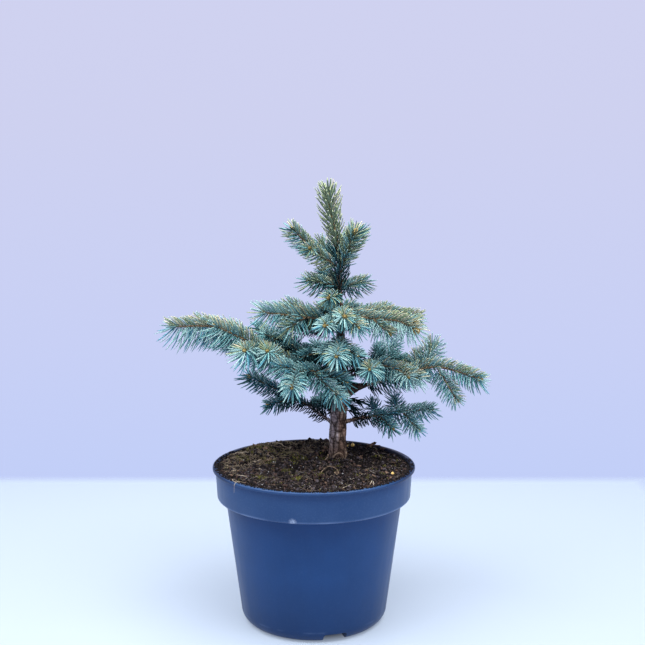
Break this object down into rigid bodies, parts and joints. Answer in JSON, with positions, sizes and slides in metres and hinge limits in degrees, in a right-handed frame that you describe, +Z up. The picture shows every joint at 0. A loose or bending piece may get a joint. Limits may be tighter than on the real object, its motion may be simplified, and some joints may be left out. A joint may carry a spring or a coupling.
{
  "type": "potted blue spruce",
  "caption": "Young blue spruce with tiered branches of stiff blue needles, growing in a round banded nursery pot filled with soil.",
  "frame": {"origin": "middle of the pot's flat underside", "axes": "+Z up, +X to the viewer's right and +Y away from the viewer in the view that shows the longest branch on the left"},
  "size_m": [0.3756, 0.2757, 0.4955],
  "materials": {
    "pot_plastic": "navy blue moulded plastic, satin, with a pale worn line along the band's lower edge",
    "soil": "dark, coarse, moist potting soil with moss and pale grit",
    "bark": "rough brown grey bark",
    "needles": "waxy blue green needles, yellow green where they catch the light"
  },
  "bodies": {
    "root": {"pot": "pot_plastic", "soil": "soil", "trunk": "bark", "bough_low_right": "bark", "bough_low_left": "bark", "bough_low_back": "bark", "bough_mid_right": "bark", "bough_mid_right_front": "bark", "bough_back_right": "bark", "bough_mid_back": "bark", "bough_front_left": "bark", "bough_long_left": "bark", "bough_back_left": "bark", "bough_upper_back_left": "bark", "bough_upper_back": "bark", "bough_upper_left": "bark", "bough_upper_right": "bark", "bough_upper_right_front": "bark", "needles_low_right": "needles", "needles_low_left": "needles", "needles_low_back": "needles", "needles_mid_right": "needles", "needles_mid_right_front": "needles", "needles_back_right": "needles", "needles_mid_back": "needles", "needles_front_left": "needles", "needles_long_left": "needles", "needles_back_left": "needles", "needles_inner_left": "needles", "needles_inner_right": "needles", "needles_front": "needles", "needles_upper_back_left": "needles", "needles_upper_back": "needles", "needles_upper_left": "needles", "needles_upper_right_back": "needles", "needles_front_high_left": "needles", "needles_upper_right": "needles", "needles_front_high_right": "needles", "needles_upper_right_front": "needles", "needles_small_front": "needles", "needles_small_right": "needles", "needles_small_left": "needles", "needles_small_back": "needles", "needles_top_right": "needles", "needles_top_left": "needles", "needles_top_back_left": "needles", "needles_top_back_right": "needles", "needles_leader": "needles"}
  },
  "joints": []
}
